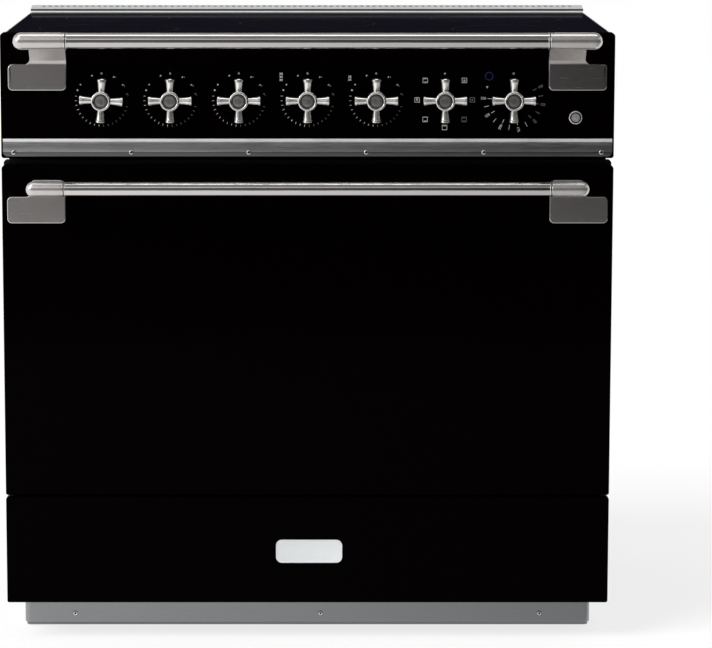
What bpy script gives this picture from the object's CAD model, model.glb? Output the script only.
import math

import bpy
from mathutils import Matrix, Vector


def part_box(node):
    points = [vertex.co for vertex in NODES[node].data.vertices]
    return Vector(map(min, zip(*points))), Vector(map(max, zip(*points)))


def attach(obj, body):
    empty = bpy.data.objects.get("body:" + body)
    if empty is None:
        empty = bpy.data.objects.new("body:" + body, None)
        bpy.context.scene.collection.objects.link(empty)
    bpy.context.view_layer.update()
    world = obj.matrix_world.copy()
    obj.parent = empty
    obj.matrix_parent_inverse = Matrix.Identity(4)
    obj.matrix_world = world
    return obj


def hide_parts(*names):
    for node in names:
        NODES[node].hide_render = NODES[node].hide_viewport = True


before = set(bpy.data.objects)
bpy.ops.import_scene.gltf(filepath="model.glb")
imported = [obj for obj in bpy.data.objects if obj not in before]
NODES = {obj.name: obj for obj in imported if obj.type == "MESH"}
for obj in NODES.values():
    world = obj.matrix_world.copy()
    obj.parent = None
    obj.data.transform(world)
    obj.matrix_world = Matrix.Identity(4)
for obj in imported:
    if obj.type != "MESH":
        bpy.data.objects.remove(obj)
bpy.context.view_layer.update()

# Looks of a free-standing range cooker. Metres, X across the front, Y to the back, Z up.

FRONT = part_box("drawer_front")[0].y
PANEL_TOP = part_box("control_panel")[1].z
HOB_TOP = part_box("hob_glass")[1].z
BRACKET_FACE = FRONT - 0.0045
KNOB_Z = PANEL_TOP - 0.098
KNOB_PITCH = 0.1005
KNOB_X = [(place - 3) * KNOB_PITCH for place in range(7)]
BUTTON = Vector((0.393, FRONT, PANEL_TOP - 0.124))
INK = 0.00006  # thickness of the printing

# How near a point lies to a plane that it counts as on it, and how near points are merged.
HAIR = 0.0001
MERGE = 0.000005
NODE_MERGE = 0.00001
PRINT_MERGE = 0.0000005

# Shares of a normal along the depth: faces the front, or lies square to it.
FACES_FRONT = 0.99
FACES_ASIDE = 0.3

AXIS = {"X": Vector((1, 0, 0)), "Y": Vector((0, 1, 0)), "Z": Vector((0, 0, 1))}
LAY = {"X": (0, math.pi / 2, 0), "Y": (math.pi / 2, 0, 0), "Z": (0, 0, 0)}
UPRIGHT = (math.pi / 2, 0, 0)
LEVEL = (0, 0, 0)


# Workshop

def clear_choice():
    """Object mode, with nothing selected."""
    if bpy.context.mode != "OBJECT":
        bpy.ops.object.mode_set(mode="OBJECT")
    bpy.ops.object.select_all(action="DESELECT")


def only(piece):
    clear_choice()
    piece.select_set(True)
    bpy.context.view_layer.objects.active = piece
    return piece


def named(name):
    """Take up the piece just added: name it and put its place into its mesh."""
    piece = bpy.context.object
    piece.name = name
    piece.data.name = name
    bpy.ops.object.transform_apply(location=True, rotation=True, scale=True)
    return piece


def block(name, low, high):
    """A cube primitive brought to two corners."""
    clear_choice()
    low, high = Vector(low), Vector(high)
    bpy.ops.mesh.primitive_cube_add(size=1, location=(low + high) / 2, scale=high - low)
    return named(name)


def disc(name, point, radius, sides, turn):
    """A flat round face, turned to lie as asked."""
    clear_choice()
    bpy.ops.mesh.primitive_circle_add(vertices=sides, radius=radius, fill_type="NGON",
                                      location=point, rotation=turn)
    return named(name)


def start_choice(piece, kind):
    """Choose one kind of element, with none of the piece's own selected."""
    only(piece)
    bpy.ops.object.mode_set(mode="EDIT")
    bpy.ops.mesh.select_mode(type=kind)
    bpy.ops.mesh.select_all(action="DESELECT")
    bpy.ops.object.mode_set(mode="OBJECT")


def choose_faces(piece, wanted):
    """Open the piece for editing with the faces selected that pass the test."""
    start_choice(piece, "FACE")
    for face in piece.data.polygons:
        face.select = wanted(face.center, face.normal)
    bpy.ops.object.mode_set(mode="EDIT")


def choose_edges(piece, wanted):
    """Open the piece for editing with the edges selected whose two ends pass the test."""
    start_choice(piece, "EDGE")
    points = piece.data.vertices
    for edge in piece.data.edges:
        edge.select = wanted(points[edge.vertices[0]].co, points[edge.vertices[1]].co)
    bpy.ops.object.mode_set(mode="EDIT")


def edge_sides(piece):
    """The normals of the faces that meet at each edge, by the edge's two points."""
    sides = {}
    for face in piece.data.polygons:
        for key in face.edge_keys:
            sides.setdefault(key, []).append(face.normal.copy())
    return sides


def choose_corners(piece, front_place):
    """Open the piece with the edges selected where its flat front meets a side squarely."""
    start_choice(piece, "EDGE")
    sides = edge_sides(piece)
    points = piece.data.vertices
    for edge in piece.data.edges:
        facing = [abs(normal.y) for normal in sides.get(edge.key, [])]
        level = all(abs(points[end].co.y - front_place) < HAIR for end in edge.vertices)
        edge.select = (level and len(facing) == 2 and max(facing) > FACES_FRONT
                       and min(facing) < FACES_ASIDE)
    bpy.ops.object.mode_set(mode="EDIT")


def bevel_chosen(width, segments=2):
    bpy.ops.mesh.bevel(offset=width, offset_type="OFFSET", segments=segments, affect="EDGES")
    bpy.ops.object.mode_set(mode="OBJECT")


def all_points(operator, **values):
    """Run one edit-mode operator on the whole of the active piece."""
    bpy.ops.object.mode_set(mode="EDIT")
    bpy.ops.mesh.select_all(action="SELECT")
    operator(**values)
    bpy.ops.object.mode_set(mode="OBJECT")


def cut_level(height):
    """Part the faces of the active piece at one height, and keep both sides."""
    all_points(bpy.ops.mesh.bisect, plane_co=(0, 0, height), plane_no=(0, 0, 1))


def closed(piece, merge=MERGE):
    """Merge doubles, then turn every face outwards."""
    only(piece)
    all_points(bpy.ops.mesh.remove_doubles, threshold=merge)
    all_points(bpy.ops.mesh.normals_make_consistent, inside=False)
    return piece


def smooth(piece, degrees=35):
    only(piece)
    bpy.ops.object.shade_smooth_by_angle(angle=math.radians(degrees))
    return piece


def join(name, pieces):
    clear_choice()
    for piece in pieces:
        piece.select_set(True)
    bpy.context.view_layer.objects.active = pieces[0]
    bpy.ops.object.join()
    pieces[0].name = name
    pieces[0].data.name = name
    return pieces[0]


def copy_of(piece, name, move):
    """A copy with its own mesh, moved by a matrix that goes into the mesh."""
    other = piece.copy()
    other.data = piece.data.copy()
    other.name = name
    other.data.name = name
    bpy.context.scene.collection.objects.link(other)
    other.data.transform(move)
    if move.determinant() < 0:
        closed(other)
    return other


def shift(x=0.0, y=0.0, z=0.0):
    return Matrix.Translation((x, y, z))


def mirror_x():
    return Matrix.Scale(-1, 4, (1, 0, 0))


def turn_about(point, degrees):
    """A turn about the line that runs from front to back through a point."""
    return (shift(*point) @ Matrix.Rotation(math.radians(degrees), 4, "Y")
            @ shift(*-point))


def turned(name, origin, axis, profile, sides):
    """A piece turned about a line: a disc extruded and scaled through (radius, place) steps."""
    origin = Vector(origin)
    line = AXIS[axis]
    radius, place = profile[0]
    piece = disc(name, origin + line * place, radius, sides, LAY[axis])
    bpy.ops.object.mode_set(mode="EDIT")
    bpy.ops.mesh.select_mode(type="FACE")
    bpy.ops.mesh.select_all(action="SELECT")
    for next_radius, next_place in profile[1:]:
        bpy.ops.mesh.extrude_region_move(
            TRANSFORM_OT_translate={"value": line * (next_place - place)})
        share = next_radius / radius
        bpy.ops.transform.resize(value=(share, share, share),
                                 center_override=origin + line * next_place)
        radius, place = next_radius, next_place
    bpy.ops.object.mode_set(mode="OBJECT")
    return smooth(closed(piece))


def flat_ring(name, point, radius, line, sides, turn, depth):
    """A printed ring: a disc, inset, its middle taken out, then given its thickness."""
    piece = disc(name, point, radius, sides, turn)
    bpy.ops.object.mode_set(mode="EDIT")
    bpy.ops.mesh.select_mode(type="FACE")
    bpy.ops.mesh.select_all(action="SELECT")
    bpy.ops.mesh.inset(thickness=line)
    bpy.ops.mesh.delete(type="FACE")
    bpy.ops.mesh.select_all(action="SELECT")
    bpy.ops.mesh.extrude_region_move(TRANSFORM_OT_translate={"value": depth})
    bpy.ops.object.mode_set(mode="OBJECT")
    return closed(piece, PRINT_MERGE)


def coated(piece, *coats):
    """Give the piece its coats, the first of them all over."""
    piece.data.materials.clear()
    for coat in coats:
        piece.data.materials.append(COAT[coat])
    return piece


def paint_faces(piece, coat, wanted):
    """Give the faces that pass the test one of the piece's own coats."""
    place = list(piece.data.materials).index(COAT[coat])
    for face in piece.data.polygons:
        if wanted(face.center, face.normal):
            face.material_index = place


def fit(piece, body, slot, *replaced):
    """Say which body carries the piece, its finish and which plain nodes it stands for."""
    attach(piece, body)
    if replaced:
        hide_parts(*replaced)
    return piece


def from_node(name, degrees=35):
    """A merged copy of a plain node with soft shading, free of the node's own labels."""
    source = NODES[name]
    piece = source.copy()
    piece.data = source.data.copy()
    piece.parent = None
    for key in list(piece.keys()):
        del piece[key]
    piece.name = name + "_finished"
    piece.data.name = piece.name
    bpy.context.scene.collection.objects.link(piece)
    only(piece)
    if piece.data.has_custom_normals:
        bpy.ops.mesh.customdata_custom_splitnormals_clear()
    closed(piece, NODE_MERGE)
    return smooth(piece, degrees)


# Shared effects

MIX_SHARE, MIX_DARK, MIX_LIGHT, MIX_COLOUR = 0, 6, 7, 2  # sockets of a colour mix node


def plug(tree, socket, value):
    """Set a socket to a number, or link it where the value is another socket."""
    if isinstance(value, (int, float)):
        socket.default_value = value
    else:
        tree.links.new(value, socket)


VECTOR, NUMBER, COLOUR = "NodeSocketVector", "NodeSocketFloat", "NodeSocketColor"


def new_group(name, inputs, outputs):
    group = bpy.data.node_groups.new(name, "ShaderNodeTree")
    for label, kind, value in inputs:
        socket = group.interface.new_socket(label, in_out="INPUT", socket_type=kind)
        if value is not None:
            socket.default_value = value
    for label, kind in outputs:
        group.interface.new_socket(label, in_out="OUTPUT", socket_type=kind)
    start = group.nodes.new("NodeGroupInput")
    end = group.nodes.new("NodeGroupOutput")
    return group, start, end


def math_node(tree, operation, first, second, clamp=False):
    node = tree.nodes.new("ShaderNodeMath")
    node.operation = operation
    node.use_clamp = clamp
    plug(tree, node.inputs[0], first)
    plug(tree, node.inputs[1], second)
    return node.outputs[0]


def noise_node(tree, vector, scale, detail, rough):
    node = tree.nodes.new("ShaderNodeTexNoise")
    node.inputs["Detail"].default_value = detail
    node.inputs["Roughness"].default_value = rough
    tree.links.new(vector, node.inputs["Vector"])
    plug(tree, node.inputs["Scale"], scale)
    return node.outputs["Fac"]


def band(tree, value, low, high, out_low, out_high):
    """A value's run from low to high, drawn out to another run and held at its ends."""
    node = tree.nodes.new("ShaderNodeMapRange")
    tree.links.new(value, node.inputs["Value"])
    for label, limit in (("From Min", low), ("From Max", high),
                         ("To Min", out_low), ("To Max", out_high)):
        plug(tree, node.inputs[label], limit)
    return node.outputs["Result"]


def make_brushing():
    """Long fine scratches: a tone for colour, a value for roughness and a height."""
    group, start, end = new_group(
        "brushing",
        [("Vector", VECTOR, None), ("Fineness", NUMBER, 900.0), ("Roughness", NUMBER, 0.3),
         ("Spread", NUMBER, 0.1), ("Dark", COLOUR, (0.3, 0.3, 0.3, 1)),
         ("Light", COLOUR, (0.5, 0.5, 0.5, 1))],
        [("Color", COLOUR), ("Roughness", NUMBER), ("Height", NUMBER)])
    fine = noise_node(group, start.outputs["Vector"], start.outputs["Fineness"],
                      detail=4.0, rough=0.7)
    low = math_node(group, "SUBTRACT", start.outputs["Roughness"], start.outputs["Spread"])
    high = math_node(group, "ADD", start.outputs["Roughness"], start.outputs["Spread"])
    rough = band(group, fine, 0.3, 0.7, low, high)
    mix = group.nodes.new("ShaderNodeMix")
    mix.data_type = "RGBA"
    group.links.new(band(group, fine, 0.35, 0.65, 0.0, 1.0), mix.inputs[MIX_SHARE])
    group.links.new(start.outputs["Dark"], mix.inputs[MIX_DARK])
    group.links.new(start.outputs["Light"], mix.inputs[MIX_LIGHT])
    group.links.new(mix.outputs[MIX_COLOUR], end.inputs["Color"])
    group.links.new(rough, end.inputs["Roughness"])
    group.links.new(fine, end.inputs["Height"])
    return group


def make_handling():
    """Faint handling marks and dust: blotches that dull a surface, and a dust mask."""
    group, start, end = new_group(
        "handling marks",
        [("Vector", VECTOR, None), ("Roughness", NUMBER, 0.2), ("Amount", NUMBER, 0.08),
         ("Size", NUMBER, 6.0)],
        [("Roughness", NUMBER), ("Dust", NUMBER)])
    broad = noise_node(group, start.outputs["Vector"], start.outputs["Size"],
                       detail=4.0, rough=0.6)
    high = math_node(group, "ADD", start.outputs["Roughness"], start.outputs["Amount"])
    rough = band(group, broad, 0.45, 0.75, start.outputs["Roughness"], high)
    specks = noise_node(group, start.outputs["Vector"], 420.0, detail=2.0, rough=0.5)
    dust = band(group, specks, 0.66, 0.8, 0.0, 1.0)
    patch = band(group, broad, 0.5, 0.7, 0.0, 1.0)
    group.links.new(rough, end.inputs["Roughness"])
    group.links.new(math_node(group, "MULTIPLY", dust, patch), end.inputs["Dust"])
    return group


def make_flow():
    """Slow waviness of a fired or pressed surface, as a height."""
    group, start, end = new_group(
        "surface flow",
        [("Vector", VECTOR, None), ("Broad", NUMBER, 9.0), ("Fine", NUMBER, 260.0),
         ("Fine share", NUMBER, 0.2)],
        [("Height", NUMBER)])
    broad = noise_node(group, start.outputs["Vector"], start.outputs["Broad"],
                       detail=1.0, rough=0.4)
    fine = noise_node(group, start.outputs["Vector"], start.outputs["Fine"],
                      detail=2.0, rough=0.5)
    part = math_node(group, "MULTIPLY", fine, start.outputs["Fine share"])
    group.links.new(math_node(group, "ADD", broad, part), end.inputs["Height"])
    return group


BRUSHING = make_brushing()
HANDLING = make_handling()
FLOW = make_flow()


class Finish:
    """One material under construction: its tree, its shader and its place vector."""

    def __init__(self, name, colour, metallic=0.0, roughness=0.3, specular=0.5):
        self.material = bpy.data.materials.new(name)
        self.material.use_nodes = True
        self.material.diffuse_color = (*colour, 1)
        self.tree = self.material.node_tree
        self.shader = self.tree.nodes["Principled BSDF"]
        self.set("Base Color", (*colour, 1))
        self.set("Metallic", metallic)
        self.set("Roughness", roughness)
        self.set("Specular IOR Level", specular)
        self.place = self.tree.nodes.new("ShaderNodeTexCoord").outputs["Object"]

    def set(self, label, value):
        self.shader.inputs[label].default_value = value

    def feed(self, label, value):
        self.tree.links.new(value, self.shader.inputs[label])

    def stretched(self, scale):
        """The place vector, scaled so that a pattern runs long along one axis."""
        node = self.tree.nodes.new("ShaderNodeMapping")
        node.inputs["Scale"].default_value = scale
        self.tree.links.new(self.place, node.inputs["Vector"])
        return node.outputs["Vector"]

    def group(self, shared, vector, **values):
        node = self.tree.nodes.new("ShaderNodeGroup")
        node.node_tree = shared
        self.tree.links.new(vector, node.inputs["Vector"])
        for label, value in values.items():
            node.inputs[label.replace("_", " ")].default_value = value
        return node.outputs

    def bump(self, height, distance, strength=1.0):
        node = self.tree.nodes.new("ShaderNodeBump")
        node.inputs["Strength"].default_value = strength
        node.inputs["Distance"].default_value = distance
        self.tree.links.new(height, node.inputs["Height"])
        self.feed("Normal", node.outputs["Normal"])

    def waved(self, distance, **values):
        """A bump from the shared surface flow."""
        self.bump(self.group(FLOW, self.place, **values)["Height"], distance)

    def handled(self, roughness, amount, size, label="Roughness"):
        """A roughness with handling marks in it. The mask of the dust comes back."""
        marks = self.group(HANDLING, self.place, Roughness=roughness, Amount=amount, Size=size)
        self.feed(label, marks["Roughness"])
        return marks["Dust"]

    def tones(self, value, low, high, dark, light):
        """Colour that runs from dark to light while a value runs from low to high."""
        ramp = self.tree.nodes.new("ShaderNodeValToRGB")
        ramp.color_ramp.elements[0].position = low
        ramp.color_ramp.elements[0].color = (*dark, 1)
        ramp.color_ramp.elements[1].position = high
        ramp.color_ramp.elements[1].color = (*light, 1)
        self.tree.links.new(value, ramp.inputs["Fac"])
        self.feed("Base Color", ramp.outputs["Color"])


def enamel(name, colour, roughness, specular, wave):
    finish = Finish(name, colour, 0.0, roughness, specular)
    dust = finish.handled(roughness, amount=0.1, size=5.0)
    light = tuple(channel * 2.2 + 0.0012 for channel in colour)
    finish.tones(dust, 0.0, 1.0, colour, light)
    finish.waved(wave, Broad=7.0, Fine=220.0)
    return finish.material


def brushed(name, dark, light, roughness, scale, fineness, spread=0.08, metallic=1.0):
    """Brushed metal; the scale stretches the scratches along the brushing."""
    finish = Finish(name, light, metallic, roughness)
    lines = finish.group(BRUSHING, finish.stretched(scale), Fineness=fineness,
                         Roughness=roughness, Spread=spread, Dark=(*dark, 1),
                         Light=(*light, 1))
    finish.feed("Base Color", lines["Color"])
    finish.feed("Roughness", lines["Roughness"])
    finish.bump(lines["Height"], 0.00004, 0.5)
    return finish.material


def polished(name, colour, roughness, amount=0.04, metallic=1.0):
    finish = Finish(name, colour, metallic, roughness)
    dust = finish.handled(roughness, amount, size=30.0)
    dull = tuple(channel * 0.86 for channel in colour)
    finish.tones(dust, 0.0, 1.0, colour, dull)
    return finish.material


def plain(name, colour, roughness, metallic=0.0, specular=0.4, wave=0.00005, fine=320.0):
    finish = Finish(name, colour, metallic, roughness, specular)
    dust = finish.handled(roughness, amount=0.12, size=22.0)
    light = tuple(min(1.0, channel * 1.25 + 0.004) for channel in colour)
    finish.tones(dust, 0.0, 1.0, colour, light)
    finish.waved(wave, Broad=60.0, Fine=fine, Fine_share=0.7)
    return finish.material


def ink(name, colour, roughness=0.5, specular=0.3):
    return plain(name, colour, roughness, specular=specular, wave=0.00001)


def speckled_enamel():
    """Oven enamel: near black with fine pale specks."""
    finish = Finish("oven enamel", (0.012, 0.012, 0.014), roughness=0.22)
    specks = noise_node(finish.tree, finish.place, 520.0, detail=1.0, rough=0.5)
    finish.tones(specks, 0.66, 0.74, (0.01, 0.01, 0.012), (0.3, 0.3, 0.32))
    finish.handled(0.2, amount=0.15, size=9.0)
    finish.waved(0.0002, Broad=20.0, Fine=400.0)
    return finish.material


def wool():
    finish = Finish("mineral wool", (0.55, 0.5, 0.38), roughness=0.95, specular=0.1)
    fibres = noise_node(finish.tree, finish.stretched((40, 40, 900)), 1.0,
                        detail=6.0, rough=0.7)
    finish.tones(fibres, 0.3, 0.7, (0.36, 0.31, 0.2), (0.66, 0.6, 0.46))
    finish.bump(fibres, 0.002)
    finish.set("Sheen Weight", 0.2)
    return finish.material


def clear_glass(name, colour, roughness):
    finish = Finish(name, colour, 0.0, roughness)
    finish.set("Transmission Weight", 0.85)
    finish.set("IOR", 1.47)
    finish.waved(0.0001, Broad=80.0, Fine=300.0)
    finish.handled(roughness, amount=0.1, size=12.0)
    return finish.material


def hob_black():
    """Black glass ceramic, a trace blue, its shine a thin clear coat."""
    colour = (0.0058, 0.005, 0.0085)
    finish = Finish("hob glass", colour, roughness=0.4, specular=0.0)
    finish.set("Coat Weight", 0.12)
    finish.set("Coat IOR", 1.45)
    dust = finish.handled(0.06, amount=0.06, size=4.0, label="Coat Roughness")
    finish.tones(dust, 0.0, 1.0, colour, (0.0085, 0.008, 0.0115))
    return finish.material


def copper_coil():
    finish = Finish("coil copper", (0.6, 0.26, 0.12), metallic=0.7, roughness=0.4)
    lines = noise_node(finish.tree, finish.stretched((500, 500, 60)), 1.0,
                       detail=2.0, rough=0.5)
    finish.tones(lines, 0.35, 0.65, (0.32, 0.12, 0.05), (0.72, 0.34, 0.17))
    finish.bump(lines, 0.0004)
    return finish.material


ALONG_X = (0.02, 1.0, 1.0)
ALONG_Z = (1.0, 1.0, 0.02)
FLECKED = (0.6, 0.6, 0.6)
COARSE = 240.0
FINE = 1500.0
FINEST = 2600.0

COAT = {
    "black_enamel": enamel("black enamel", (0.0007, 0.0002, 0.0004), 0.1, specular=0.012,
                           wave=0.00012),
    "side_enamel": enamel("side enamel", (0.006, 0.0058, 0.006), 0.34, specular=0.3,
                          wave=0.0001),
    "oven_enamel": speckled_enamel(),
    "brushed_steel": brushed("brushed steel", (0.49, 0.49, 0.5), (0.57, 0.57, 0.58), 0.34,
                             ALONG_X, FINE),
    "band_steel": brushed("band steel", (0.75, 0.75, 0.76), (0.83, 0.83, 0.84), 0.24,
                          ALONG_X, FINE, spread=0.05, metallic=0.55),
    "shaded_steel": brushed("shaded steel", (0.19, 0.19, 0.195), (0.24, 0.24, 0.245), 0.36,
                            ALONG_X, FINE),
    "brushed_hem": brushed("brushed steel, hemmed edge", (0.13, 0.13, 0.135),
                           (0.17, 0.17, 0.175), 0.36, ALONG_X, FINE),
    "plinth_steel": brushed("plinth steel", (0.3, 0.305, 0.315), (0.36, 0.365, 0.375), 0.34,
                            ALONG_X, FINE),
    "satin_steel": brushed("satin steel", (0.56, 0.53, 0.515), (0.62, 0.59, 0.575), 0.25,
                           ALONG_X, FINEST, spread=0.025),
    "cap_steel": brushed("cap steel", (0.64, 0.61, 0.595), (0.70, 0.67, 0.655), 0.25,
                         ALONG_X, FINEST, spread=0.025, metallic=0.86),
    "satin_nickel": polished("satin nickel", (0.84, 0.82, 0.79), 0.19, amount=0.05),
    "knob_nickel": polished("knob nickel", (0.9, 0.88, 0.85), 0.09, amount=0.03, metallic=0.86),
    "button_steel": brushed("button steel", (0.33, 0.32, 0.31), (0.4, 0.39, 0.38), 0.3,
                            ALONG_X, FINE, spread=0.05, metallic=0.5),
    "bezel_steel": brushed("bezel steel", (0.78, 0.77, 0.76), (0.86, 0.85, 0.84), 0.25,
                           ALONG_X, FINE, spread=0.05, metallic=0.6),
    "turned_disc": brushed("turned disc", (0.2, 0.195, 0.192), (0.34, 0.335, 0.33), 0.42,
                           ALONG_Z, FINE, spread=0.06),
    "lip_steel": brushed("lip steel", (0.78, 0.78, 0.79), (0.86, 0.86, 0.87), 0.4,
                         ALONG_X, FINE, spread=0.05, metallic=0.3),
    "vent_steel": brushed("vent steel", (0.66, 0.66, 0.67), (0.74, 0.74, 0.75), 0.45,
                          ALONG_X, FINE, spread=0.06, metallic=0.45),
    "rail_steel": brushed("rail steel", (0.66, 0.63, 0.62), (0.72, 0.69, 0.68), 0.065,
                          ALONG_X, FINE, spread=0.015),
    "handle_steel": brushed("handle steel", (0.75, 0.715, 0.705), (0.81, 0.775, 0.765), 0.065,
                            ALONG_X, FINE, spread=0.015),
    "bright_steel": polished("bright steel", (0.78, 0.77, 0.76), 0.16),
    "chrome": polished("chrome", (0.7, 0.68, 0.66), 0.1),
    "zinc_steel": brushed("zinc steel", (0.44, 0.45, 0.46), (0.5, 0.51, 0.52), 0.44,
                          FLECKED, COARSE, spread=0.06),
    "black_plastic": plain("black plastic", (0.012, 0.012, 0.013), 0.5),
    "seal_rubber": plain("seal rubber", (0.02, 0.02, 0.021), 0.75, specular=0.3,
                         wave=0.0001, fine=500.0),
    "hob_glass": hob_black(),
    "lamp_glass": clear_glass("lamp glass", (0.95, 0.96, 0.97), 0.08),
    "coil_copper": copper_coil(),
    "mineral_wool": wool(),
    "element_steel": plain("element steel", (0.09, 0.085, 0.085), 0.45, metallic=0.8,
                           specular=0.5, wave=0.0001),
    "badge_silver": plain("badge silver", (0.72, 0.74, 0.75), 0.4, metallic=0.1,
                          specular=0.3, wave=0.00004),
    "print_light": ink("dial print, light", (0.5, 0.5, 0.5)),
    "print_dim": ink("dial print, grey", (0.15, 0.15, 0.155)),
    "print_zone": ink("hob zone print", (0.016, 0.016, 0.019), 0.25, specular=0.2),
    "print_blue": ink("dial print, blue", (0.012, 0.02, 0.12)),
}


# Plain nodes: each takes its finish

NODE_COATS = {
    "black_enamel": ["light_switch"],
    "side_enamel": ["side_panel_left", "side_panel_right", "front_frame"],
    "zinc_steel": ["back_panel", "hob_tray", "base_frame", "roller_brackets", "fan_motor",
                   "cooling_fan_housing", "cooling_impeller", "drawer_runners", "drawer_box",
                   "hinge_arms", "door_hinges", "terminal_cover"],
    "black_plastic": ["cable_gland", "rotary_switches", "foot_left", "foot_right",
                      "roller_left", "roller_right"],
    "oven_enamel": ["oven_cavity", "fan_baffle", "door_liner", "roasting_tin"],
    "mineral_wool": ["oven_insulation", "door_blanket"],
    "seal_rubber": ["door_seal"],
    "coil_copper": ["induction_coils"],
    "element_steel": ["grill_element", "ring_element"],
    "chrome": ["wire_rack", "shelf_support_left", "shelf_support_right"],
    "lamp_glass": ["lamp_lens"],
    "bright_steel": ["fan_impeller"],
    "hob_glass": ["hob_glass"],
}
for coat_name, members in NODE_COATS.items():
    for member in members:
        coated(NODES[member], coat_name)


# Cross-head knobs

KNOB_MIDDLE = Vector((0, FRONT - 0.0198, KNOB_Z))  # where the arms cross
HUB_RADIUS = 0.0146
GROOVE_RADIUS = 0.0102
DISC_RADIUS = 0.0088
FIRST_KNOB_TURN = 2.7


def knob_arm():
    """One arm: a flared shank, a fine groove, a banded tip and a dished end."""
    profile = [(0.0046, 0.0085), (0.0046, 0.0128), (0.0050, 0.0180), (0.0057, 0.0245),
               (0.0062, 0.0272), (0.0057, 0.0275), (0.0057, 0.0279), (0.0067, 0.0283),
               (0.0068, 0.0305), (0.0067, 0.0312), (0.0063, 0.0315), (0.0050, 0.0315),
               (0.0046, 0.0311), (0.0018, 0.0309)]
    return turned("knob_arm", KNOB_MIDDLE, "Z", profile, 28)


def knob_hub():
    """Hub: flared skirt, neck, a rounded ring, one dark groove and a turned disc."""
    profile = [(0.0100, -0.0008), (0.0100, -0.0016), (0.0082, -0.0046), (0.0075, -0.0096),
               (0.0131, -0.0098), (0.0141, -0.0102), (0.0145, -0.0113), (0.0145, -0.0272),
               (0.0143, -0.0282), (0.0138, -0.0290), (0.0131, -0.0295), (0.0123, -0.0298),
               (0.0115, -0.0296), (0.0108, -0.0291), (0.0103, -0.0284), (0.0100, -0.0280),
               (0.0090, -0.0280), (0.0088, -0.0288), (0.0083, -0.0293), (0.0060, -0.0295),
               (0.0057, -0.0291), (0.0052, -0.0291), (0.0049, -0.0295), (0.0010, -0.0296)]
    return turned("knob_hub", (0, FRONT, KNOB_Z), "Y", profile, 56)


def make_knob():
    """A knob at the middle of the panel: hub and four arms, to be copied to each place."""
    arm = knob_arm()
    parts = [knob_hub(), arm]
    for quarter in (1, 2, 3):
        parts.append(copy_of(arm, "knob_arm_%d" % quarter,
                             turn_about(KNOB_MIDDLE, 90 * quarter)))
    knob = join("knob_pattern", parts)
    coated(knob, "knob_nickel", "turned_disc", "black_plastic", "satin_nickel")
    disc_front = FRONT - 0.0285
    groove_front = FRONT - 0.0275

    def reach(centre):
        return (centre - KNOB_MIDDLE).xz.length

    paint_faces(knob, "satin_nickel", lambda centre, normal: reach(centre) < HUB_RADIUS)
    paint_faces(knob, "turned_disc", lambda centre, normal: centre.y < disc_front
                and normal.y < -0.6 and reach(centre) < DISC_RADIUS)
    paint_faces(knob, "black_plastic", lambda centre, normal: centre.y < groove_front
                and DISC_RADIUS < reach(centre) < GROOVE_RADIUS)
    return knob


def place_knobs():
    pattern = make_knob()
    names = ["hob_knob_%d" % place for place in range(1, 6)]
    names += ["function_knob", "temperature_knob"]
    for index, name in enumerate(names):
        move = shift(KNOB_X[index])
        if index == 0:
            move = move @ turn_about(Vector((0, FRONT, KNOB_Z)), FIRST_KNOB_TURN)
        knob = copy_of(pattern, name + "_turned", move)
        fit(knob, "body_" + name, "chrome", name)
    bpy.data.objects.remove(pattern)


place_knobs()


# Push button

def push_button():
    """Domed cap with concentric steps, and the bezel ring round it."""
    cap = turned("button_cap", BUTTON, "Y",
                 [(0.0024, 0.0154), (0.0024, 0.0006), (0.0063, 0.0004), (0.0063, -0.0030),
                  (0.0060, -0.0036), (0.0047, -0.0037), (0.0045, -0.0033), (0.0041, -0.0033),
                  (0.0039, -0.0038), (0.0020, -0.0041), (0.0004, -0.0042)], 48)
    coated(cap, "button_steel")
    fit(cap, "button", "chrome", "light_button")
    bezel = turned("button_bezel", BUTTON, "Y",
                   [(0.0068, -0.0002), (0.0098, -0.0002), (0.0098, -0.0012),
                    (0.0093, -0.0022), (0.0084, -0.0026), (0.0075, -0.0026),
                    (0.0069, -0.0021)], 56)
    bore = 0.00695

    def reach(point):
        return (point - BUTTON).xz.length

    choose_faces(bezel, lambda centre, normal: abs(normal.y) > FACES_FRONT
                 and reach(centre) < 0.001)
    bpy.ops.mesh.delete(type="FACE")
    choose_edges(bezel, lambda one, two: max(reach(one), reach(two)) < bore)
    bpy.ops.mesh.bridge_edge_loops()
    smooth(closed(bezel))
    coated(bezel, "bezel_steel")
    fit(bezel, "root", "satin_steel")


push_button()


# Rails and their brackets

TUBE_SHRINK = 0.0005
TUBE_CHAMFER = 0.0012
TUBE_LIP = 0.0003
RIM_CHAMFER = 0.0011
FLAT_ANGLE = 0.3  # degrees under which faces count as one flat
CAP_REACH = 0.030  # what lies this far in front of a plate belongs to the cap
COLLAR_WIDTH = 0.0050


def rail(name, node, body, coat):
    """A polished tube, a hair finer than its end caps."""
    low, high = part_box(node)
    radius = (high.z - low.z) / 2 - TUBE_SHRINK
    middle = (low + high) / 2
    half = high.x
    ends = [(radius - TUBE_CHAMFER, half), (radius - TUBE_CHAMFER, half - TUBE_LIP),
            (radius, half - TUBE_LIP * 2)]
    profile = [(r, -place) for r, place in ends]
    profile += [(r, place) for r, place in reversed(ends)]
    tube = turned(name, (0, middle.y, middle.z), "X", profile, 72)
    coated(tube, coat)
    fit(tube, body, "bright_steel", node)


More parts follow.
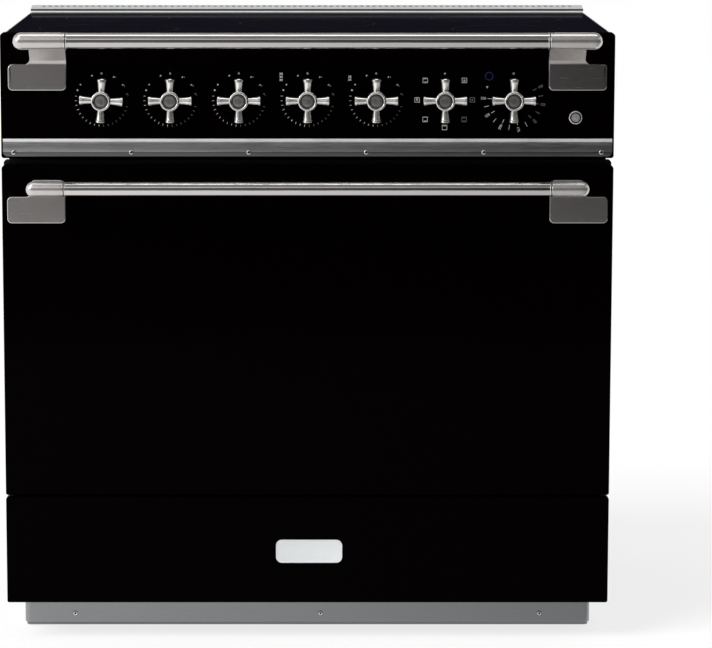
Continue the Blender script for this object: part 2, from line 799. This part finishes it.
def bracket(node, body):
    """The bracket's casting, its plate edged with a bright chamfer."""
    piece = from_node(node)
    all_points(bpy.ops.mesh.dissolve_limited, angle_limit=math.radians(FLAT_ANGLE))
    choose_corners(piece, BRACKET_FACE)
    bevel_chosen(RIM_CHAMFER)
    coated(piece, "satin_steel", "bright_steel", "cap_steel")
    rim_front = BRACKET_FACE - 0.00005
    rim_back = BRACKET_FACE + 0.0012
    paint_faces(piece, "bright_steel", lambda centre, normal: -0.97 < normal.y < -0.2
                and rim_front < centre.y < rim_back)
    paint_faces(piece, "cap_steel",
                lambda centre, normal: centre.y < BRACKET_FACE - CAP_REACH)
    smooth(piece, 30)
    fit(piece, body, "satin_steel", node)


def collars(name, body, node):
    """A double ring where a bracket's cap meets the tube, its groove dark, at both ends."""
    low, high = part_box(node)
    radius = (high.z - low.z) / 2
    middle = (low + high) / 2
    place = high.x
    sunk = radius - 0.0003
    foot = radius - 0.0015
    start = place - COLLAR_WIDTH
    groove_start = start + 0.0018
    groove_end = start + 0.0032
    profile = [(foot, start), (sunk, start), (radius, start + 0.0004),
               (radius, start + 0.0014), (sunk, groove_start), (sunk, groove_end),
               (radius, start + 0.0036), (radius, start + 0.0046), (sunk, place),
               (foot, place)]
    right = turned("collar", (0, middle.y, middle.z), "X", profile, 72)
    both = join(name, [right, copy_of(right, "collar_left", mirror_x())])
    coated(both, "satin_nickel", "black_plastic")
    paint_faces(both, "black_plastic", lambda centre, normal:
                groove_start - HAIR < abs(centre.x) < groove_end + HAIR)
    fit(both, body, "bright_steel")


rail("handrail_tube_polished", "handrail_tube", "root", "rail_steel")
rail("door_handle_tube_polished", "door_handle_tube", "door", "handle_steel")
collars("handrail_collars", "root", "handrail_tube")
collars("door_handle_collars", "door", "door_handle_tube")
for side in ("left", "right"):
    bracket("handrail_bracket_" + side, "root")
    bracket("door_bracket_" + side, "door")


# Fronts: softly shaded pans

for node_name, body_name in (("control_panel", "root"), ("door_skin", "door"),
                             ("drawer_front", "drawer")):
    pan = from_node(node_name, 30)
    coated(pan, "black_enamel")
    fit(pan, body_name, "black_enamel", node_name)


# Trim strip

BAND_HEIGHT = 0.0047
BAND_LEAN = 0.002
HEM_HEIGHT = 0.0068
STRIP_CORNER = 0.007
STRIP_EDGE = 0.0005


def trim_strip():
    """Brushed strip with rounded lower corners and a bright sloping band along its top."""
    low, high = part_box("trim_strip")
    strip = block("trim_strip_brushed", low, high)
    shoulder = high.z - BAND_HEIGHT
    hem = low.z + HEM_HEIGHT
    cut_level(shoulder)
    choose_edges(strip, lambda one, two: min(one.z, two.z) > high.z - HAIR
                 and max(one.y, two.y) < low.y + HAIR)
    bpy.ops.transform.translate(value=(0, BAND_LEAN, 0))
    choose_edges(strip, lambda one, two: max(one.z, two.z) < low.z + HAIR
                 and abs(one.x - two.x) < HAIR)
    bevel_chosen(STRIP_CORNER, segments=8)
    choose_edges(strip, lambda one, two: max(one.y, two.y) < low.y + HAIR
                 and max(one.z, two.z) < shoulder - HAIR)
    bevel_chosen(STRIP_EDGE)
    smooth(closed(strip), 25)
    cut_level(hem)
    coated(strip, "brushed_steel", "band_steel", "brushed_hem")
    paint_faces(strip, "band_steel",
                lambda centre, normal: centre.z > shoulder and normal.y < -0.5)
    paint_faces(strip, "brushed_hem", lambda centre, normal: centre.z < hem)
    fit(strip, "root", "brushed_steel", "trim_strip")


trim_strip()


# Vent trim

VENT_LIP = 0.0024
VENT_FACE_DEPTH = 0.002


def vent_trim():
    """The slotted trim: a bright lip on the glass, and a dark groove above it."""
    trim = from_node("vent_trim", 25)
    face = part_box("vent_trim")[0].y + VENT_FACE_DEPTH
    lip_top = HOB_TOP + VENT_LIP
    cut_level(lip_top)
    coated(trim, "vent_steel", "black_plastic", "lip_steel")

    def in_front(centre, normal):
        return normal.y < -0.8 and centre.y < face

    paint_faces(trim, "black_plastic", lambda centre, normal: in_front(centre, normal)
                and centre.z > lip_top)
    paint_faces(trim, "lip_steel", lambda centre, normal: in_front(centre, normal)
                and centre.z < lip_top)
    fit(trim, "root", "bright_steel", "vent_trim")


vent_trim()


# Plinth

def plinth():
    """The folded plinth, its stepped lower edge in the ledge's shade."""
    piece = from_node("plinth", 30)
    step_top = 0.0065
    coated(piece, "plinth_steel", "shaded_steel")
    paint_faces(piece, "shaded_steel", lambda centre, normal: centre.z < step_top)
    fit(piece, "root", "brushed_steel", "plinth")


plinth()


# Screws

STRIP_SCREW_PITCH = 0.1725
STRIP_SCREW_LIFT = 0.006
PLINTH_SCREWS = (-0.354, 0.020, 0.354)
PLINTH_SCREW_Z = 0.0195
PLINTH_SETBACK = 0.088


def front_screws():
    """Low pan heads with a round socket and a dark seam, in the strip and the plinth."""
    strip_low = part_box("trim_strip")[0]
    profile = [(0.0016, 0.0040), (0.0016, 0.0), (0.0040, 0.0), (0.0040, -0.0002),
               (0.0034, -0.0003), (0.0034, -0.0007), (0.0031, -0.0011), (0.0025, -0.0014),
               (0.0016, -0.0014), (0.0015, -0.0007), (0.0003, -0.0006)]
    seam, socket = 0.0035, 0.0016
    pattern = turned("screw_pattern", (0, 0, 0), "Y", profile, 20)
    coated(pattern, "satin_nickel", "black_plastic")
    paint_faces(pattern, "black_plastic", lambda centre, normal: centre.xz.length > seam
                or (-0.0013 < centre.y < -0.0005 and centre.xz.length < socket))
    places = [((index - 2.5) * STRIP_SCREW_PITCH, strip_low.y, strip_low.z + STRIP_SCREW_LIFT)
              for index in range(6)]
    places += [(x, FRONT + PLINTH_SETBACK, PLINTH_SCREW_Z) for x in PLINTH_SCREWS]
    heads = [copy_of(pattern, "screw_%d" % index, shift(*place))
             for index, place in enumerate(places)]
    bpy.data.objects.remove(pattern)
    fit(join("front_screws_headed", heads), "root", "bright_steel", "front_screws")


front_screws()


# Badge place, kept bare

BADGE_CORNER = 0.009
BADGE_RIM = 0.0014
BADGE_SUNK = 0.0005
BADGE_EDGE = 0.0004


def badge():
    """Plain rounded plate with a raised rim round a flat bare field."""
    low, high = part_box("badge_plate")
    plate = block("badge_plate_bare", low, high)
    choose_edges(plate, lambda one, two: abs(one.y - two.y) > 0.001)
    bevel_chosen(BADGE_CORNER, segments=10)
    choose_faces(plate, lambda centre, normal: normal.y < -0.9)
    bpy.ops.mesh.inset(thickness=BADGE_RIM)
    bpy.ops.transform.translate(value=(0, BADGE_SUNK, 0))
    choose_edges(plate, lambda one, two: max(one.y, two.y) < low.y + HAIR)
    bevel_chosen(BADGE_EDGE)
    smooth(closed(plate), 40)
    coated(plate, "badge_silver")
    fit(plate, "drawer", "badge_silver", "badge_plate")


badge()


# Printing on the panel
# Angles run clockwise in degrees from the top of a knob, and radii from its middle.

HOB_DOTS = ((-21.6, 3, 90), (-54.0, 3, -75), (-68.0, 4, 0))  # angle, corners, turn
HOB_PAIRS = (28.0, 54.5, 76.5)
HOB_BARS = [105.0 + step * 10.2 for step in range(18)]
ZONE_LIFTS = {4: (0.0293, 0.0338, 0.0383), 5: (0.0296, 0.0341)}
ZONE_ASIDE = 0.0387
OVEN_KINDS = ["fan low", "fan", "top low", "top", "low", "top fan", "low top"]
TEMPERATURES = {64: 100, 99: 125, 135: 150, 170: 175, 205: 200, 239: 225, 273: 250}
BETWEEN_BARS = (82, 117.5, 152, 188, 222, 256.5)
HOB_RING_REACH, HOB_DOT_REACH, HOB_BAR_REACH, HOB_PAIR_REACH = 0.0388, 0.0382, 0.0380, 0.0392
TOP_MARK_REACH = 0.0385
ICON_REACH = 0.0405
FIGURE_REACH, FIGURE_BAR_REACH, BETWEEN_BAR_REACH = 0.0440, 0.0345, 0.0405
HAIRLINE = 0.0006


def on_dial(centre_x, angle, radius):
    turn = math.radians(angle)
    return Vector((centre_x + radius * math.sin(turn), FRONT, KNOB_Z + radius * math.cos(turn)))


def mark(point, angle, width, height):
    """A printed bar, its height along the direction at that angle."""
    clear_choice()
    bpy.ops.mesh.primitive_cube_add(size=1, location=point,
                                    rotation=(0, math.radians(angle), 0),
                                    scale=(width, INK * 2, height))
    return named("mark")


def ring(point, radius, line, sides=24):
    return flat_ring("ring", point, radius, line, sides, UPRIGHT, (0, -INK, 0))


def figures(text, point, turn, size):
    """Printed figures, made a mesh at their place on the panel."""
    clear_choice()
    bpy.ops.object.text_add(location=point, rotation=(math.pi / 2, math.radians(turn), 0))
    words = bpy.context.object
    words.data.body = text
    words.data.size = size
    words.data.extrude = INK
    words.data.resolution_u = 3
    words.data.align_x = "CENTER"
    words.data.align_y = "CENTER"
    bpy.ops.object.convert(target="MESH")
    return closed(named("figures"), PRINT_MERGE)


def dot(point, size, corners=4, turn=0):
    """A printed diamond, or a small arrow head when it has three corners."""
    clear_choice()
    bpy.ops.mesh.primitive_cylinder_add(vertices=corners, radius=size,
                                        depth=INK * 2, location=point,
                                        rotation=(math.pi / 2, math.radians(turn), 0))
    return named("dot")


def frame_icon(point, size, line, inner):
    """A square oven pictogram: a frame with bars or a fan mark inside."""
    edge = size / 2 - line / 2
    inner_bar = size / 2 - line * 2.6
    parts = [mark(point + Vector((0, 0, sign * edge)), 0, size, line) for sign in (-1, 1)]
    parts += [mark(point + Vector((sign * edge, 0, 0)), 0, line, size - line * 2)
              for sign in (-1, 1)]
    if "top" in inner:
        parts.append(mark(point + Vector((0, 0, inner_bar)), 0, size * 0.5, line))
    if "low" in inner:
        parts.append(mark(point - Vector((0, 0, inner_bar)), 0, size * 0.5, line))
    if "fan" in inner:
        parts += [mark(point, angle, line * 0.8, size * 0.42) for angle in (0, 60, 120)]
    return parts


def zone_mark(point, size):
    """A flat cross, for one cooking zone."""
    return [mark(point, angle, size * 0.2, size) for angle in (-56, 56)]


def hob_dial():
    """A dial at the middle of the panel: its light marks, then its dimmer ones."""
    light = [ring(on_dial(0, 0, HOB_RING_REACH), radius=0.0013, line=0.0005)]
    for angle, corners, turn in HOB_DOTS:
        light.append(dot(on_dial(0, angle, HOB_DOT_REACH), 0.0019 - 0.0001 * corners,
                         corners, turn))
    dim = []
    for angle in HOB_PAIRS:
        kind = light if angle < 60 else dim
        kind.append(mark(on_dial(0, angle, HOB_BAR_REACH), angle + 10, 0.0011, 0.0026))
        kind.append(mark(on_dial(0, angle + 4.0, HOB_PAIR_REACH), angle, HAIRLINE, 0.0012))
    for angle in HOB_BARS:
        bar = mark(on_dial(0, angle, HOB_BAR_REACH), angle, width=0.0005, height=0.0031)
        (light if angle > 185 else dim).append(bar)
    return join("dial_light", light), join("dial_dim", dim)


def print_part(piece, name, coat):
    piece.name = name
    coated(piece, coat)
    fit(piece, "root", "black_enamel")


def hob_dials():
    light, dim = hob_dial()
    for place, x in enumerate(KNOB_X[:5], 1):
        for pattern, label in ((light, "light"), (dim, "dim")):
            print_part(copy_of(pattern, "copy", shift(x)),
                       "hob_dial_%d_%s" % (place, label), "print_" + label)
    for pattern in (light, dim):
        bpy.data.objects.remove(pattern)
    for place, lifts in ZONE_LIFTS.items():
        parts = []
        for lift in lifts:
            point = Vector((KNOB_X[place - 1] - ZONE_ASIDE, FRONT, KNOB_Z + lift))
            parts += zone_mark(point, size=0.0052)
        print_part(join("zones", parts), "zone_icon_%d" % place, "print_light")


def function_dial():
    x = KNOB_X[5]
    light = [dot(on_dial(x, 0, TOP_MARK_REACH), size=0.0014)]
    dim = []
    for index, inner in enumerate(OVEN_KINDS):
        angle = 45 * (index + 1)
        icon = frame_icon(on_dial(x, angle, ICON_REACH), 0.0074, HAIRLINE, inner)
        (light if angle >= 180 or angle == 45 else dim).extend(icon)
    print_part(join("function_light", light), "function_dial_light", "print_light")
    print_part(join("function_dim", dim), "function_dial_dim", "print_dim")


def temperature_dial():
    x = KNOB_X[6]
    light = [ring(on_dial(x, 0, TOP_MARK_REACH), radius=0.0015, line=0.0005)]
    dim = []
    for angle, degrees in TEMPERATURES.items():
        turn = angle - 90 if angle < 180 else angle + 90
        pair = [figures(str(degrees), on_dial(x, angle, FIGURE_REACH), turn, size=0.0052),
                mark(on_dial(x, angle, FIGURE_BAR_REACH), angle, HAIRLINE, height=0.0062)]
        (light if angle > 150 else dim).extend(pair)
    for angle in BETWEEN_BARS:
        bar = mark(on_dial(x, angle, BETWEEN_BAR_REACH), angle, HAIRLINE, height=0.0072)
        (light if angle > 150 else dim).append(bar)
    lamp = Vector((x - 0.0358, FRONT, KNOB_Z + 0.0348))
    print_part(ring(lamp, radius=0.0060, line=0.0008, sides=32), "lamp_ring_blue",
               "print_blue")
    below = lamp + Vector((-0.0026, 0, -0.0154))
    light.append(mark(below, 0, width=0.0030, height=0.0008))
    light.append(mark(below - Vector((0, 0, 0.0014)), 0, width=0.0012, height=0.0014))
    print_part(join("temperature_light", light), "temperature_dial_light", "print_light")
    print_part(join("temperature_dim", dim), "temperature_dial_dim", "print_dim")


hob_dials()
function_dial()
temperature_dial()


# Hob zones

ZONES = [(-0.3, 0.27, 0.105), (-0.3, 0.73, 0.082), (0.0, 0.5, 0.105),
         (0.3, 0.27, 0.082), (0.3, 0.73, 0.105)]  # x, share of the depth, radius


def hob_zones():
    """Fine grey rings printed on the glass over the five coils."""
    low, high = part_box("hob_glass")
    depth = high.y - low.y
    rings = [flat_ring("zone", (x, low.y + depth * share, HOB_TOP + INK), radius,
                       line=0.0012, sides=96, turn=LEVEL, depth=(0, 0, -INK))
             for x, share, radius in ZONES]
    zones = join("hob_zone_rings", rings)
    coated(zones, "print_zone")
    fit(zones, "root", "hob_glass")


hob_zones()


# Studio

def share_of_sight(tree):
    """1 for camera, glossy and transmission rays."""
    path = tree.nodes.new("ShaderNodeLightPath").outputs
    seen = math_node(tree, "ADD", path["Is Camera Ray"], path["Is Glossy Ray"])
    return math_node(tree, "ADD", seen, path["Is Transmission Ray"], clamp=True)


def bare_material(piece, name):
    """A material with nothing but its output, on the piece: its tree and that output."""
    material = bpy.data.materials.new(name)
    material.use_nodes = True
    material.node_tree.nodes.clear()
    piece.data.materials.append(material)
    return material.node_tree, material.node_tree.nodes.new("ShaderNodeOutputMaterial")


def pale_floor():
    clear_choice()
    bpy.ops.mesh.primitive_plane_add(size=40, location=(0, 0, 0))
    floor = named("studio_floor")
    tree, out = bare_material(floor, "pale floor")
    paint = tree.nodes.new("ShaderNodeBsdfDiffuse")
    paint.inputs["Color"].default_value = (0.9, 0.9, 0.9, 1)
    glow = tree.nodes.new("ShaderNodeEmission")
    glow.inputs["Strength"].default_value = 1.04
    mix = tree.nodes.new("ShaderNodeMixShader")
    tree.links.new(math_node(tree, "MULTIPLY", share_of_sight(tree), 0.72), mix.inputs[0])
    tree.links.new(paint.outputs[0], mix.inputs[1])
    tree.links.new(glow.outputs[0], mix.inputs[2])
    tree.links.new(mix.outputs[0], out.inputs["Surface"])


def pale_world():
    world = bpy.data.worlds.new("pale studio")
    bpy.context.scene.world = world
    world.use_nodes = True
    tree = world.node_tree
    sky = tree.nodes["Background"]
    sky.inputs["Color"].default_value = (1, 1, 1, 1)
    tree.links.new(band(tree, share_of_sight(tree), 0.0, 1.0, 0.5, 1.0),
                   sky.inputs["Strength"])


def studio_card(name, location, size, turn, left, right):
    """A card that only shows in reflections, its grey running from left to right."""
    clear_choice()
    bpy.ops.mesh.primitive_plane_add(size=1, location=location, rotation=turn)
    bpy.context.object.scale = (*size, 1)
    card = named(name)
    tree, out = bare_material(card, name)
    glow = tree.nodes.new("ShaderNodeEmission")
    place = tree.nodes.new("ShaderNodeSeparateXYZ")
    run = 0.9
    tree.links.new(tree.nodes.new("ShaderNodeTexCoord").outputs["Object"], place.inputs[0])
    tree.links.new(band(tree, place.outputs["X"], -run, run, left, right),
                   glow.inputs["Strength"])
    tree.links.new(glow.outputs[0], out.inputs["Surface"])
    card.visible_camera = False
    card.visible_diffuse = False
    card.visible_shadow = False
    card.visible_transmission = False


def softbox(name, location, aim, size, power):
    lamp = bpy.data.lights.new(name, "AREA")
    lamp.shape = "RECTANGLE"
    lamp.size, lamp.size_y = size
    lamp.energy = power
    box = bpy.data.objects.new(name, lamp)
    bpy.context.scene.collection.objects.link(box)
    box.location = location
    box.rotation_mode = "QUATERNION"
    box.rotation_quaternion = (Vector(aim) - Vector(location)).to_track_quat("-Z", "Y")
    box.visible_camera = False


def soft_sun(name, direction, strength, angle):
    """A wide soft sun, so the whole floor is lit alike."""
    lamp = bpy.data.lights.new(name, "SUN")
    lamp.energy = strength
    lamp.angle = math.radians(angle)
    sun = bpy.data.objects.new(name, lamp)
    bpy.context.scene.collection.objects.link(sun)
    sun.rotation_mode = "QUATERNION"
    sun.rotation_quaternion = Vector(direction).to_track_quat("-Z", "Y")


pale_floor()
pale_world()
studio_card("front_flag", (0, -3.1, 1.07), (7.0, 2.14), UPRIGHT, 0.165, 0.0)
studio_card("window_band", (0, -3.6, 2.75), (7.0, 1.1), UPRIGHT, 1.0, 0.2)
studio_card("right_flag", (2.6, -1.8, 0.95), (4.0, 1.9), (math.pi / 2, 0, math.pi / 2.6),
            0.01, 0.01)
studio_card("floor_flag", (0, -1.62, 0.004), (7.0, 2.86), LEVEL, 1.0, 0.36)
studio_card("back_flag", (0, 2.2, 1.35), (6.0, 1.5), UPRIGHT, 0.004, 0.004)
studio_card("grey_ceiling", (0, -0.5, 3.3), (9.0, 7.5), LEVEL, 0.28, 0.16)
softbox("overhead_softbox", (0, -0.28, 2.5), (0, -0.28, 0), (2.6, 0.5), 9)
softbox("left_softbox", (-3.0, -2.0, 2.1), (0, 0, 0.3), (1.5, 1.5), 20)
soft_sun("key_sun", (1.0, 0.75, -1.3), 2.1, 30)


# Camera

def camera():
    """The photograph's view: a long lens, tilted down from above the hob."""
    tilt_down = 8.771
    data = bpy.data.cameras.new("photo camera")
    data.sensor_width = 36.0
    data.lens = 170.3
    data.shift_x = 0.0761
    data.clip_start, data.clip_end = 0.1, 60.0
    eye = bpy.data.objects.new("photo camera", data)
    bpy.context.scene.collection.objects.link(eye)
    eye.location = (-0.0084, -5.2, 1.24)
    eye.rotation_euler = (math.radians(90 - tilt_down), 0, 0)
    bpy.context.scene.camera = eye


camera()
bpy.context.scene.view_settings.view_transform = "Standard"
